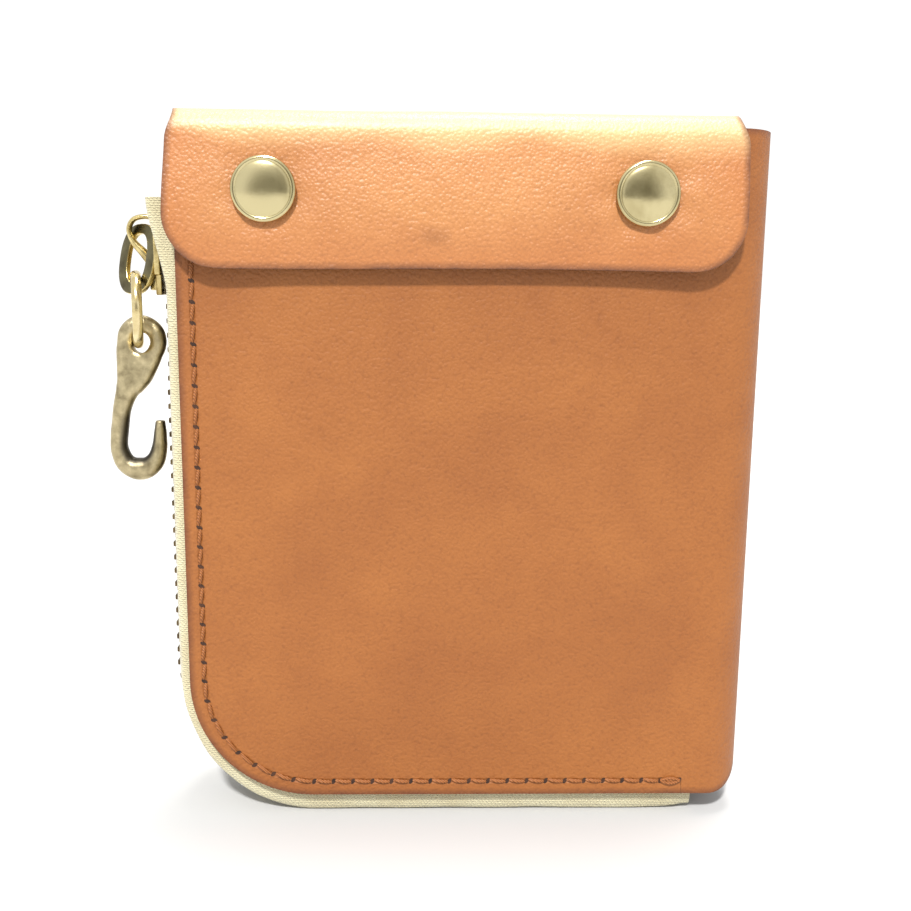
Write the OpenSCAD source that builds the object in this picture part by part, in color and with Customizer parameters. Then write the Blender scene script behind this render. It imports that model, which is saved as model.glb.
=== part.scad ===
// Compact zip-round wallet: a folded leather body, an L-shaped metal zip down the free side and
// along the bottom, and a top flap held by two press studs. Millimetres, +Z up, front towards -Y.
// The origin lies on the standing surface, under the middle of the leather body.

/* [Body] */
// Width of the leather body, from the zip side to the fold
body_w = 115; // [112:1:118]
// Height of the leather body
body_h = 135; // [130:1:140]
// Thickness of the filled wallet
body_t = 26; // [25:0.5:28]
// Thickness of the outer leather
leather_t = 1.8; // [1.6:0.1:2]
// Radius of the rounded corner that the zip runs round
corner_r = 25; // [20:1:28]
// Radius of the folded spine, seen from above
spine_r = 8; // [6:0.5:9]

/* [Flap] */
// Width of the flap
flap_w = 110; // [106:1:112]
// Drop of the flap from its top to its lower edge
flap_drop = 29.4; // [28:0.2:31]
// Distance of the flap's outer face from the front of the body
flap_stand = 3.5; // [3.5:0.1:3.8]
// Spacing of the two press studs
stud_spacing = 71.6; // [68:0.2:74]

/* [Zip] */
// How far the zip stands out beyond the leather edge
zip_bulge = 4.8; // [4.6:0.1:5]
// Distance from one tooth to the next on one tape
tooth_pitch = 2.9; // [2.8:0.1:3.2]
// Height of the top end of the zip tape
zip_top = 126; // [125.5:0.5:127]

/* [Charm] */
// Outer diameter of the jump ring
ring_d = 15.8; // [15.6:0.2:16.4]
// Thickness of the jump ring's wire
ring_wire = 1.8; // [1.6:0.1:1.8]

/* [Hidden] */
$fn = 48;
gap = 0.3;

base_z = zip_bulge;                        // lower edge of the leather
top_z = base_z + body_h;                   // upper edge of the leather
half_w = body_w / 2;
half_t = body_t / 2;
corner = [-half_w + corner_r, 0, base_z + corner_r];

// Layers behind each outer face, counted inwards
tape_t = 0.6;
lining_t = 0.8;
lining_y = half_t - leather_t - tape_t;    // outer face of a lining
inner_y = lining_y - lining_t;             // inner face of a lining
lining_inset = 1;
lining_right = 44;

// Zip
tape_sewn = 5;                             // width of tape hidden under the leather
tape_turn = 1.5;                           // outer radius of the tape's turn
tape_turn_out = 2.4;                       // how far out of the leather the turn reaches
tape_flat_y = 4.6;                         // where the slanted tape meets the flat strip at the teeth
tape_end_y = 2.6;                          // where the tape meets the teeth
tooth_l = 1.25;
tooth_reach = 1;                           // how far a tooth passes the centre
tooth_h = 2.4;
zip_end_x = 47;
teeth_top = 115.4;
teeth_end_x = 42;
leg_h = zip_top - corner[2];
foot_l = zip_end_x - corner[0];
teeth_leg = teeth_top - corner[2];
teeth_foot = teeth_end_x - corner[0];
zip_mid = zip_bulge - tooth_h / 2;          // middle of the chain, out from the leather edge
teeth_arc_r = corner_r + zip_mid;
stop_l = 2.5;

// Stitching
stitch_inset = 3;
stitch_pitch = 4.03;
stitch_l = 3;
stitch_w = 0.6;
stitch_h = 0.35;
stitch_end_x = 47;
stitch_r = corner_r - stitch_inset;

// Flap: a plate over the top and a tongue down the front, each turning at its own fold
flap_left = -59;
flap_right = flap_left + flap_w;
flap_top = top_z + 2.5;
fold_z = flap_top - leather_t / 2;
back_fold_y = half_t + 0.05 + leather_t / 2;
front_fold_y = -half_t - flap_stand + leather_t / 2;
fold_r = leather_t / 2;
fold_gap = fold_r + 0.2;
flap_corner_r = 10;
flap_low = flap_top - flap_drop;
anchor_left = -half_w + 0.1;
anchor_low = top_z - 30;

// Press studs
stud_mid_x = -4.1;
stud_z = 127.2;
stud_x = [stud_mid_x - stud_spacing / 2, stud_mid_x + stud_spacing / 2];
cap_r = 6;
cap_h = 1.8;
socket_r = 5.2;
socket_bore_r = 3.2;
post_r = 1.7;
post_hole_r = 1.75;
stud_flange_r = 4.8;
stud_flange_t = 0.3;
stud_tip_y = -half_t - 1.3;
flap_in_y = -half_t - flap_stand + leather_t;
flap_out_y = -half_t - flap_stand;

// Inner pockets
pocket_t = 0.8;
pocket_gap = 0.3;
pocket_left = -46;
pocket_right = 43;
pocket_low = 30;
pocket_tops = [116, 107, 98];
coin_top = 94;
coin_left = -42;
coin_right = 40;
coin_low = 34;
coin_wall_y = -5.2;
divider_y = 0.4;

// Slider and what hangs on it
slide_z = 115;                             // middle of the slider
plate_w = 9;
plate_l = 15;
plate_t = 1.2;
plate_gap = tooth_h / 2 + gap;
plate_out = zip_mid + plate_gap + plate_t; // outer face of the outer plate
crown_w = 1.8;
eye_low = 3;                               // the crown's eye, from the middle of the slider
eye_h = 4;
eye_out = 11.7;
tab_h = 14.4;
tab_w = 10.5;
tab_rail = 2.1;
tab_bar = 2;                               // the rail that passes through the crown
tab_t = 1.3;
tab_twist = 27;                            // the tab hangs turned towards the front
tab_tilt = 12.3;                           // and leans out over the crown's lower end
tab_pin = [-half_w - 9, 0, slide_z + 5.5];
tab_drop = tab_h - tab_bar / 2 - tab_rail / 2;
tab_rest = tab_pin - tab_drop * [sin(tab_tilt) * cos(tab_twist),
    sin(tab_tilt) * sin(tab_twist), cos(tab_tilt)];
ring_r = (ring_d - ring_wire) / 2;
ring_at = tab_rest + [0.5, 0, 2.2 + ring_wire / 2 - ring_r];
ring_twist = -10;
hook_eye_r = 1.75;
hook_eye_z = ring_at[2] - ring_r - 0.4;
hook_head_r = 5.2;
hook_head_t = 3.4;
hook_head_z = hook_eye_z + 0.9;
hook_wire = 3.6;
hook_bend_r = 4.6;
hook_bend = [-0.7, hook_eye_z - 21];       // X from the ring's middle, then Z
hook_shank_top = [-2.4, hook_head_z - 8];
hook_tip = hook_bend + [hook_bend_r + 0.3, 12];

// Turns a flat outline, drawn in X and Z, into a plate from y = from to y = to.
module plate(from, to) {
    translate([0, to, 0]) rotate([90, 0, 0]) linear_extrude(height = to - from) children();
}

// Outline of the body from the front, inset by `inset`, ending at x = right.
module body_outline(inset, right, lower_right_r) {
    r = corner_r - inset;
    left = -half_w + inset;
    low = base_z + inset;
    translate([corner[0], corner[2]]) circle(r = r);
    translate([left, corner[2]]) square([right - left, top_z - inset - corner[2]]);
    translate([corner[0], low]) square([right - lower_right_r - corner[0], corner_r]);
    translate([right - lower_right_r, low + lower_right_r]) circle(r = lower_right_r);
    translate([right - 2 * lower_right_r, low + lower_right_r])
        square([2 * lower_right_r, corner_r]);
}

// Block from above with both corners at the spine rounded, inset by `inset`.
module spine_plan(inset, left) {
    r = spine_r - inset;
    for (side = [-1, 1]) translate([half_w - spine_r, side * (half_t - spine_r)]) circle(r = r);
    translate([left, -half_t + inset])
        square([half_w - spine_r - left, body_t - 2 * inset]);
    translate([half_w - spine_r - 1, -half_t + spine_r])
        square([1 + r, body_t - 2 * spine_r]);
}

module outer_shell() {
    color("#c8824c") difference() {
        intersection() {
            linear_extrude(height = top_z) difference() {
                spine_plan(0, -half_w);
                spine_plan(leather_t, -half_w - 1);
            }
            plate(-half_t - 1, half_t + 1) body_outline(0, half_w, 7);
        }
        for (x = stud_x) translate([x, -half_t - 1, stud_z]) rotate([-90, 0, 0])
            cylinder(r = post_hole_r, h = leather_t + 2);
    }
}

module lining(from, to) {
    color("#b88a5c") plate(from, to) body_outline(lining_inset, lining_right, 2);
}
module front_lining() { lining(-lining_y, -inner_y); }
module back_lining() { lining(inner_y, lining_y); }

module centre_divider() {
    color("#b97a48") plate(divider_y, divider_y + pocket_t)
        translate([pocket_left - 2, 12]) square([half_w - leather_t - pocket_left + 2, 116]);
}

// One card pocket panel; number 0 is the rearmost.
module card_pocket(number) {
    to = inner_y - pocket_gap - number * (pocket_t + pocket_gap);
    color("#bf8450") plate(to - pocket_t, to) translate([pocket_left, pocket_low])
        square([pocket_right - pocket_left, pocket_tops[number] - pocket_low]);
}
module card_pocket_rear() { card_pocket(0); }
module card_pocket_middle() { card_pocket(1); }
module card_pocket_front() { card_pocket(2); }

module coin_pocket_panel() {
    color("#bf8450") plate(coin_wall_y, coin_wall_y + pocket_t)
        translate([coin_left, coin_low]) square([coin_right - coin_left, coin_top - coin_low]);
}

// Gusset along the sides and bottom of the coin pocket.
module coin_pocket_gusset() {
    color("#a87446") plate(-inner_y, coin_wall_y) difference() {
        translate([coin_left, coin_low])
            square([coin_right - coin_left, coin_top - coin_low - 2]);
        translate([coin_left + pocket_t, coin_low + pocket_t])
            square([coin_right - coin_left - 2 * pocket_t, coin_top]);
    }
}

// Sweeps a section down the side, round the corner and along the bottom. In the section, x is
// the distance from the corner's centre and y is the row's Y.
module along_zip(up, across) {
    translate(corner) {
        mirror([1, 0, 0]) linear_extrude(height = up) children();
        rotate([-90, 0, 0]) rotate([0, 0, 90]) rotate_extrude(angle = 90) children();
        rotate([0, 90, 0]) linear_extrude(height = across) children();
    }
}

// Section of the front tape: sewn under the leather, turned over its edge, then out to the teeth.
module tape_section() {
    turn_x = corner_r + tape_turn_out;
    out = corner_r + zip_bulge;
    face_y = -half_t + leather_t;
    translate([corner_r - tape_sewn, face_y])
        square([tape_sewn + tape_turn_out - tape_turn, tape_t]);
    translate([turn_x - tape_turn, face_y + tape_turn]) intersection() {
        difference() {
            circle(r = tape_turn);
            circle(r = tape_turn - tape_t);
        }
        translate([0, -tape_turn]) square(tape_turn);
    }
    polygon([[turn_x, face_y + tape_turn], [out, -tape_flat_y], [out, -tape_end_y],
        [out - tape_t, -tape_end_y], [out - tape_t, -tape_flat_y],
        [turn_x - tape_t, face_y + tape_turn]]);
}
module zip_tape_front() { color("#e8dfb8") along_zip(leg_h, foot_l) tape_section(); }
module zip_tape_back() { color("#e8dfb8") along_zip(leg_h, foot_l) mirror([0, 1]) tape_section(); }

// One tooth, its middle at the origin, reaching along +Y past the centre of the chain. X is the
// way out of the wallet and Z the way along the chain.
module tooth() {
    translate([-tooth_h / 2, -tape_end_y, -tooth_l / 2])
        cube([tooth_h, tape_end_y + tooth_reach, tooth_l]);
}

// A row of teeth, shifted along the chain by `shift` of a pitch.
module tooth_row(shift) {
    turn = tooth_pitch / teeth_arc_r * 180 / PI;
    first = shift * tooth_pitch;
    leg_n = floor((teeth_leg - first) / tooth_pitch);
    start = (leg_n + 1) * tooth_pitch + first - teeth_leg;
    arc_l = teeth_arc_r * PI / 2;
    arc_n = floor((arc_l - start) / tooth_pitch);
    rest = start + (arc_n + 1) * tooth_pitch - arc_l;
    foot_n = floor((teeth_foot - rest) / tooth_pitch);
    translate(corner) {
        for (i = [0 : leg_n]) translate([-teeth_arc_r, 0, teeth_leg - first - i * tooth_pitch])
            tooth();
        for (i = [0 : arc_n]) rotate([0, -90 - (start / tooth_pitch + i) * turn, 0])
            translate([0, 0, teeth_arc_r]) rotate([0, 90, 0]) tooth();
        for (i = [0 : foot_n]) translate([rest + i * tooth_pitch, 0, -teeth_arc_r])
            rotate([0, 90, 0]) tooth();
    }
}
module zip_teeth_front() { color("#6b5230") tooth_row(0.5); }
module zip_teeth_back() { color("#6b5230") mirror([0, 1, 0]) tooth_row(0); }

module zip_top_stops() {
    color("#8a6f3c") for (side = [-1, 1])
        translate([corner[0] - teeth_arc_r - tooth_h / 2, side * (tape_end_y - 0.6) - 0.6,
            zip_top - stop_l]) cube([tooth_h, 1.2, stop_l]);
}
module zip_bottom_stop() {
    color("#8a6f3c") translate([teeth_end_x + 0.9, -tape_end_y, 0])
        cube([stop_l, 2 * tape_end_y, tooth_h]);
}

// One stitch on the face y = 0 .. stitch_h, lying along Z.
module stitch() {
    translate([-stitch_w / 2, 0, -stitch_l / 2]) cube([stitch_w, stitch_h, stitch_l]);
}

// Stitches down the side from z = top, round the corner and along the bottom, standing out
// towards +Y.
module edge_stitches(top) {
    leg = top - corner[2];
    leg_n = floor(leg / stitch_pitch);
    arc_l = stitch_r * PI / 2;
    arc_n = floor(arc_l / stitch_pitch);
    foot = stitch_end_x - corner[0];
    foot_n = floor(foot / stitch_pitch);
    translate(corner) {
        for (i = [0.5 : leg_n]) translate([-stitch_r, 0, i * stitch_pitch]) stitch();
        for (i = [0.5 : arc_n]) rotate([0, -90 - i * 90 / arc_n, 0])
            translate([0, 0, stitch_r]) rotate([0, 90, 0]) stitch();
        for (i = [0.5 : foot_n]) translate([i * stitch_pitch, 0, -stitch_r])
            rotate([0, 90, 0]) stitch();
    }
}
module stitching_front() {
    color("#7a4a28") translate([0, -half_t - stitch_h, 0]) edge_stitches(top_z - 3.5);
}
module stitching_back() {
    color("#7a4a28") translate([0, half_t, 0]) edge_stitches(anchor_low - 2);
}
module stitching_flap() {
    count = floor((flap_right - anchor_left - 2 * stitch_inset) / stitch_pitch);
    color("#7a4a28") for (i = [0.5 : count])
        translate([anchor_left + stitch_inset + i * stitch_pitch, back_fold_y + leather_t / 2,
            anchor_low + stitch_inset]) rotate([0, 90, 0]) stitch();
}

// Sewn part of the flap on the back, with the roll of the rear fold at its top.
module flap_anchor() {
    color("#d0884f") {
        plate(back_fold_y - leather_t / 2, back_fold_y + leather_t / 2)
            translate([anchor_left, anchor_low])
                square([flap_right - anchor_left, fold_z - fold_gap - anchor_low]);
        fold_roll(back_fold_y);
        for (x = [anchor_left + 2, (anchor_left + flap_right) / 2, flap_right - 4])
            translate([x, back_fold_y - 0.3, fold_z - fold_gap - 0.2]) cube([2, 0.6, 1]);
    }
}

// Rolled leather of one fold, along X.
module fold_roll(y) {
    translate([anchor_left, y, fold_z]) rotate([0, 90, 0])
        cylinder(r = fold_r, h = flap_right - anchor_left);
}

// Part of the flap over the top, with the roll of the front fold at its front edge.
module flap_bridge() {
    from = front_fold_y + fold_gap;
    color("#d0884f") {
        translate([flap_left, from, flap_top - leather_t])
            cube([flap_w, back_fold_y - fold_gap - from, leather_t]);
        fold_roll(front_fold_y);
        for (x = [anchor_left + 8, (anchor_left + flap_right) / 2, flap_right - 10])
            translate([x, front_fold_y, fold_z - 0.3]) cube([2, fold_gap + 0.2, 0.6]);
    }
}

// Part of the flap down the front, with round lower corners and holes for the caps' posts.
module flap_tongue() {
    high = fold_z - fold_gap;
    color("#d0884f") difference() {
        plate(flap_out_y, flap_in_y) {
            translate([flap_left, flap_low + flap_corner_r])
                square([flap_w, high - flap_low - flap_corner_r]);
            translate([flap_left + flap_corner_r, flap_low])
                square([flap_w - 2 * flap_corner_r, flap_corner_r + 1]);
            for (x = [flap_left + flap_corner_r, flap_right - flap_corner_r])
                translate([x, flap_low + flap_corner_r]) circle(r = flap_corner_r);
        }
        for (x = stud_x) translate([x, flap_out_y - 1, stud_z]) rotate([-90, 0, 0])
            cylinder(r = post_hole_r, h = leather_t + 2);
    }
}

// Round cap on the outside of the flap, with a turned rim and the post through the leather.
module cap(x) {
    color("#d8cf9a") translate([x, flap_out_y, stud_z]) rotate([90, 0, 0]) {
        cylinder(r = cap_r, h = 0.7);
        translate([0, 0, 0.7]) cylinder(r1 = cap_r, r2 = cap_r - 0.9, h = 0.7);
        translate([0, 0, 1.4]) cylinder(r1 = cap_r - 0.9, r2 = cap_r - 2.6, h = cap_h - 1.4);
        translate([0, 0, -leather_t]) cylinder(r = post_r, h = leather_t);
    }
}
module cap_left() { cap(stud_x[0]); }
module cap_right() { cap(stud_x[1]); }

// Socket on the inside of the flap, open towards the body.
module socket(x) {
    depth = flap_stand - leather_t - stud_flange_t - 0.1;
    color("#c8bd80") translate([x, flap_in_y, stud_z]) rotate([-90, 0, 0]) difference() {
        cylinder(r = socket_r, h = depth);
        translate([0, 0, 0.3]) cylinder(r = socket_bore_r, h = depth);
    }
}
module socket_left() { socket(stud_x[0]); }
module socket_right() { socket(stud_x[1]); }

// Split spring ring inside the socket.
module socket_spring(x) {
    color("#b0a890") translate([x, flap_in_y + 0.45, stud_z]) rotate([-90, 0, 0]) difference() {
        cylinder(r = socket_bore_r - 0.1, h = 0.4);
        translate([0, 0, -1]) cylinder(r = 2.55, h = 3);
        translate([0, -0.4, -1]) cube([socket_bore_r + 1, 0.8, 3]);
    }
}
module socket_spring_left() { socket_spring(stud_x[0]); }
module socket_spring_right() { socket_spring(stud_x[1]); }

// Stud on the front of the body: a thin flange and a tapered head.
module stud(x) {
    head_h = -half_t - stud_flange_t - stud_tip_y;
    color("#c8bd80") translate([x, -half_t, stud_z]) rotate([90, 0, 0]) {
        cylinder(r = stud_flange_r, h = stud_flange_t);
        translate([0, 0, stud_flange_t]) cylinder(r1 = 2.4, r2 = 1.9, h = head_h);
    }
}
module stud_left() { stud(stud_x[0]); }
module stud_right() { stud(stud_x[1]); }

// Post that holds the stud from behind the leather.
module stud_post(x) {
    color("#c8bd80") translate([x, -half_t, stud_z]) rotate([-90, 0, 0]) {
        cylinder(r = post_r, h = leather_t);
        translate([0, 0, leather_t]) cylinder(r = 4.5, h = 0.5);
    }
}
module stud_post_left() { stud_post(stud_x[0]); }
module stud_post_right() { stud_post(stud_x[1]); }

// Places children on the side of the zip: X out of the wallet from the leather edge, Z up from
// the middle of the slider.
module at_slider() {
    translate([-half_w, 0, slide_z]) mirror([1, 0, 0]) children();
}

// Slider: two plates, narrower at the lower end, and the neck between them at the upper end.
module slider_body() {
    color("#cdb978") at_slider() {
        for (x = [zip_mid - plate_gap - plate_t, zip_mid + plate_gap]) {
            translate([x, -plate_w / 2 + 1, -plate_l / 2]) cube([plate_t, plate_w - 2, plate_l]);
            translate([x, -plate_w / 2, -plate_l / 2 + 4]) cube([plate_t, plate_w, plate_l - 4]);
        }
        translate([zip_mid - plate_gap, -1.2, plate_l / 2 - 3.5])
            cube([2 * plate_gap, 2.4, 3]);
    }
}

// Crown: a block on the outer plate with an eye at its upper end that the pull tab hangs in.
module slider_crown() {
    out = eye_out + 1.2;
    high = eye_low + eye_h;
    color("#d8c684") at_slider() translate([0, crown_w / 2, 0]) rotate([90, 0, 0])
        linear_extrude(height = crown_w) difference() {
            polygon([[plate_out, -6.8], [plate_out + 2.4, -6.8], [plate_out + 3.3, -2.5],
                [plate_out + 3.3, 0.4], [out - 0.6, 0.4], [out, 1.2], [out, high - 0.2],
                [out - 1.2, high + 1.2], [plate_out, high + 1.2]]);
            translate([plate_out + gap, eye_low]) square([eye_out - plate_out - gap, eye_h]);
        }
}

// Leaf spring of the lock, flat on the slider inside the crown's eye.
module slider_lock_spring() {
    color("#b0a890") at_slider() translate([plate_out + gap, -0.8, eye_low + 0.2])
        cube([0.3, 1.6, eye_h - 0.4]);
}

// Oval pull tab, a flat link whose upper bar passes through the crown's eye.
module oval(w, h) {
    for (side = [-1, 1]) translate([0, side * (h - w) / 2]) circle(r = w / 2);
    square([w, h - w], center = true);
}
module pull_tab() {
    hole_h = tab_h - tab_bar - tab_rail;
    color("#c9b062") translate(tab_pin) rotate([0, tab_tilt, tab_twist])
        rotate([0, 90, 0]) rotate([0, 0, 90]) translate([0, 0, -tab_t / 2])
        linear_extrude(height = tab_t) difference() {
            translate([0, (tab_bar - tab_h) / 2]) oval(tab_w, tab_h);
            translate([0, -(tab_bar + hole_h) / 2]) oval(tab_w - 2 * tab_rail, hole_h);
        }
}

module jump_ring() {
    color("#d9be62") translate(ring_at) rotate([0, 90, ring_twist])
        rotate_extrude() translate([ring_r, 0]) circle(d = ring_wire);
}

// Round bar between two points in the XZ plane, tapering from radius a to radius b.
module bar(from, to, a, b) {
    run = to - from;
    translate([from[0], 0, from[1]]) rotate([0, atan2(run[0], run[1]), 0])
        cylinder(r1 = a, r2 = b, h = norm(run));
}

// Cast hook: a flat round head with the eye, a shank, a bend and a short rising tip.
module hook() {
    r = hook_wire / 2;
    shank_low = hook_bend - [hook_bend_r, 0];
    bend_end = hook_bend + [hook_bend_r, 0];
    color("#9c8f63") translate([ring_at[0], ring_at[1], 0]) difference() {
        union() {
            translate([0, hook_head_t / 2, hook_head_z]) rotate([90, 0, 0])
                cylinder(r = hook_head_r, h = hook_head_t);
            bar([-0.7, hook_head_z - 2.5], hook_shank_top, r + 1.3, r);
            bar(hook_shank_top, shank_low, r, r);
            for (end = [hook_shank_top, shank_low, bend_end])
                translate([end[0], 0, end[1]]) sphere(r = r + 0.05);
            translate([hook_bend[0], 0, hook_bend[1]]) rotate([90, 0, 0]) rotate([0, 0, 180])
                rotate_extrude(angle = 180) translate([hook_bend_r, 0]) circle(r = r);
            bar(bend_end, hook_tip, r, r - 0.4);
            translate([hook_tip[0], 0, hook_tip[1]]) sphere(r = r - 0.4);
        }
        translate([0, 5, hook_eye_z]) rotate([90, 0, 0]) cylinder(r = hook_eye_r, h = 10);
        for (side = [-1, 1]) translate([0, side * (hook_head_t / 2 + 5), hook_head_z - 2])
            cube([20, 10, 17], center = true);
    }
}

outer_shell();
front_lining();
back_lining();
centre_divider();
card_pocket_rear();
card_pocket_middle();
card_pocket_front();
coin_pocket_panel();
coin_pocket_gusset();
zip_tape_front();
zip_tape_back();
zip_teeth_front();
zip_teeth_back();
zip_top_stops();
zip_bottom_stop();
stitching_front();
stitching_back();
stitching_flap();
flap_anchor();
stud_left();
stud_right();
stud_post_left();
stud_post_right();
flap_bridge();
flap_tongue();
cap_left();
cap_right();
socket_left();
socket_right();
socket_spring_left();
socket_spring_right();
slider_body();
slider_crown();
slider_lock_spring();
pull_tab();
jump_ring();
hook();
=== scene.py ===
# Looks for the compact zip wallet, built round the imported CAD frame. Lengths in the making code
# are millimetres in the CAD's own frame, and become metres in make().
import math
from contextlib import contextmanager

import bmesh
import bpy
from mathutils import Matrix, Vector, noise


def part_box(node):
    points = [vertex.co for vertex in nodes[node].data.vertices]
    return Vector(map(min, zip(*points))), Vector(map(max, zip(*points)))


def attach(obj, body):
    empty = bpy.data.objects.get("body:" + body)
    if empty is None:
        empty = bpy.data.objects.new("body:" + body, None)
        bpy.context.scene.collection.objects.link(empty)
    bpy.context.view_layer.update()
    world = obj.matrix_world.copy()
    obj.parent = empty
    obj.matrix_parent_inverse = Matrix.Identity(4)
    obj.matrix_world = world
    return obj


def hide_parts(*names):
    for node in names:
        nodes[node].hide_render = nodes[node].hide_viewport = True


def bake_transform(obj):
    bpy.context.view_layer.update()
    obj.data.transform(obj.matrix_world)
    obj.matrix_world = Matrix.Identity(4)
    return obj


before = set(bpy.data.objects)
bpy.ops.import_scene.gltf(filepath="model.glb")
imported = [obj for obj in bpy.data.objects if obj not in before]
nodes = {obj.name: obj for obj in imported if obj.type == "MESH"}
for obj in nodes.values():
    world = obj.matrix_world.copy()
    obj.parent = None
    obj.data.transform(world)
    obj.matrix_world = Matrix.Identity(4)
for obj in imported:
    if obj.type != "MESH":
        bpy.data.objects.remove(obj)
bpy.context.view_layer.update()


# ---------------------------------------------------------------- sizes taken from the frame
def box_middle(node):
    lo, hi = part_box(node)
    return (lo + hi) * 500


SHELL_LO, SHELL_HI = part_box("outer_shell")
TONGUE_LO, TONGUE_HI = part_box("flap_tongue")
ANCHOR_LO, ANCHOR_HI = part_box("flap_anchor")
BASE_Z, TOP_Z = SHELL_LO.z * 1000, SHELL_HI.z * 1000
HALF_W, HALF_T = SHELL_HI.x * 1000, SHELL_HI.y * 1000
FLAP_LEFT, FLAP_RIGHT = TONGUE_LO.x * 1000, TONGUE_HI.x * 1000
FLAP_OUT, FLAP_LOW = TONGUE_LO.y * 1000, TONGUE_LO.z * 1000
FLAP_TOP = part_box("flap_bridge")[1].z * 1000
ANCHOR_LEFT, ANCHOR_LOW = ANCHOR_LO.x * 1000, ANCHOR_LO.z * 1000
ANCHOR_OUT = ANCHOR_HI.y * 1000
CAPS = [box_middle("cap_left"), box_middle("cap_right")]
TAPE_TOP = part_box("zip_tape_front")[1].z * 1000
TAB_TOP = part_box("pull_tab")[1].z * 1000
RING_AT = box_middle("jump_ring")

# ---------------------------------------------------------------- sizes given here
LEATHER = 1.8        # thickness of the outer leather and the flap
CORNER_R = 25.0      # the large round corner on the zip side
CORNER = (-HALF_W + CORNER_R, BASE_Z + CORNER_R)
SPINE_R = 8.0        # the folded spine's corners, seen from above
SPINE_FOOT_R = 7.0   # the spine's lower corner, seen from the front
SEAM_INSET = 3.0     # the stitch line and its pressed groove, from the leather's edge
STITCH = 4.03        # from needle hole to needle hole
TAPE_END = 47.0      # x of the tapes' free ends under the lower edge
TEETH_TOP = 115.4    # z of the first tooth
TEETH_END = 42.0     # x of the last tooth
TOOTH_PITCH = 2.9
PIN_X = -66.5        # x of the pin that the tab hangs on
FAR = 20             # what "edge" and "seam" say well away from any rim


# ---------------------------------------------------------------- mesh helpers
@contextmanager
def editing(mesh):
    """The mesh as a bmesh, written back at the end."""
    bm = bmesh.new()
    bm.from_mesh(mesh)
    yield bm
    bm.to_mesh(mesh)
    bm.free()


def add_object(name, data):
    obj = bpy.data.objects.new(name, data)
    bpy.context.scene.collection.objects.link(obj)
    return obj


def shade_smooth(mesh):
    mesh.polygons.foreach_set("use_smooth", [True] * len(mesh.polygons))


def make(name, verts, faces, body=None, slot=None, replaces=()):
    mesh = bpy.data.meshes.new(name)
    mesh.from_pydata([(v[0] * 0.001, v[1] * 0.001, v[2] * 0.001) for v in verts], [], faces)
    mesh.validate()
    shade_smooth(mesh)
    return dress(add_object(name, mesh), body, replaces)


def dress(obj, body, replaces):
    if body:
        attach(obj, body)
    if replaces:
        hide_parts(*replaces)
    return obj


def recalc(obj):
    with editing(obj.data) as bm:
        bmesh.ops.recalc_face_normals(bm, faces=bm.faces)


def applied(obj):
    """Turns the object's modifiers into plain mesh."""
    dg = bpy.context.evaluated_depsgraph_get()
    mesh = bpy.data.meshes.new_from_object(obj.evaluated_get(dg), depsgraph=dg)
    obj.modifiers.clear()
    obj.data = mesh
    return obj


def bevel(obj, width, segments, angle):
    m = obj.modifiers.new("round", "BEVEL")
    m.width = width * 0.001
    m.segments = segments
    m.limit_method = "ANGLE"
    m.angle_limit = math.radians(angle)
    return applied(obj)


def smooth_by_angle(obj, degrees):
    limit = math.radians(degrees)
    with editing(obj.data) as bm:
        for e in bm.edges:
            e.smooth = len(e.link_faces) != 2 or e.calc_face_angle(0) < limit


def soften(node, name, body, width, segments, material):
    """A copy of a CAD node with its edges rounded, standing for the node."""
    mesh = nodes[node].data.copy()
    with editing(mesh) as bm:
        bmesh.ops.remove_doubles(bm, verts=bm.verts, dist=2e-6)
        bmesh.ops.dissolve_limit(bm, angle_limit=math.radians(2), verts=bm.verts, edges=bm.edges)
    mesh.materials.clear()
    obj = bevel(add_object(name, mesh), width, segments, 30)
    shade_smooth(obj.data)
    obj.data.materials.append(material)
    smooth_by_angle(obj, 40)
    return dress(obj, body, (node,))


def point_values(obj, name, values):
    """Stores one number for each vertex, for the material to read."""
    attribute = obj.data.attributes.new(name, "FLOAT", "POINT")
    attribute.data.foreach_set("value", values)


def grid_faces(rows, columns, closed=False, start=0):
    out = []
    for i in range(rows - 1):
        for j in range(columns if closed else columns - 1):
            a = start + i * columns + j
            b = start + i * columns + (j + 1) % columns
            out.append((a, b, b + columns, a + columns))
    return out


def tube_faces(rings, sides):
    """Faces of a tube closed at both ends."""
    last = (rings - 1) * sides
    return grid_faces(rings, sides, closed=True) + [
        tuple(range(sides)), tuple(reversed(range(last, last + sides)))]


def sheet_faces(rows, columns, ends):
    """Faces of a sheet with a thickness: outer and inner grid, both sides, the rows in ends."""
    inner = rows * columns
    faces = grid_faces(rows, columns)
    faces += [tuple(reversed(f)) for f in grid_faces(rows, columns, start=inner)]
    for i in range(rows - 1):
        a, b = i * columns, (i + 1) * columns
        faces.append((a, b, inner + b, inner + a))
        a, b = a + columns - 1, b + columns - 1
        faces.append((b, a, inner + a, inner + b))
    for row in ends:
        for j in range(row * columns, (row + 1) * columns - 1):
            faces.append((j, j + 1, inner + j + 1, inner + j))
    return faces


def add_part(verts, faces, part):
    """Appends another (verts, faces) to the lists of a mesh in the making."""
    more_verts, more_faces = part
    faces += [tuple(k + len(verts) for k in face) for face in more_faces]
    verts += more_verts


def lerp(a, b, t):
    return a + (b - a) * t


def step(a, b, x):
    t = min(max((x - a) / (b - a), 0), 1)
    return t * t * (3 - 2 * t)


def ripple(x, y, z, size, height):
    return noise.noise(Vector((x / size, y / size, z / size))) * height


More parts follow.
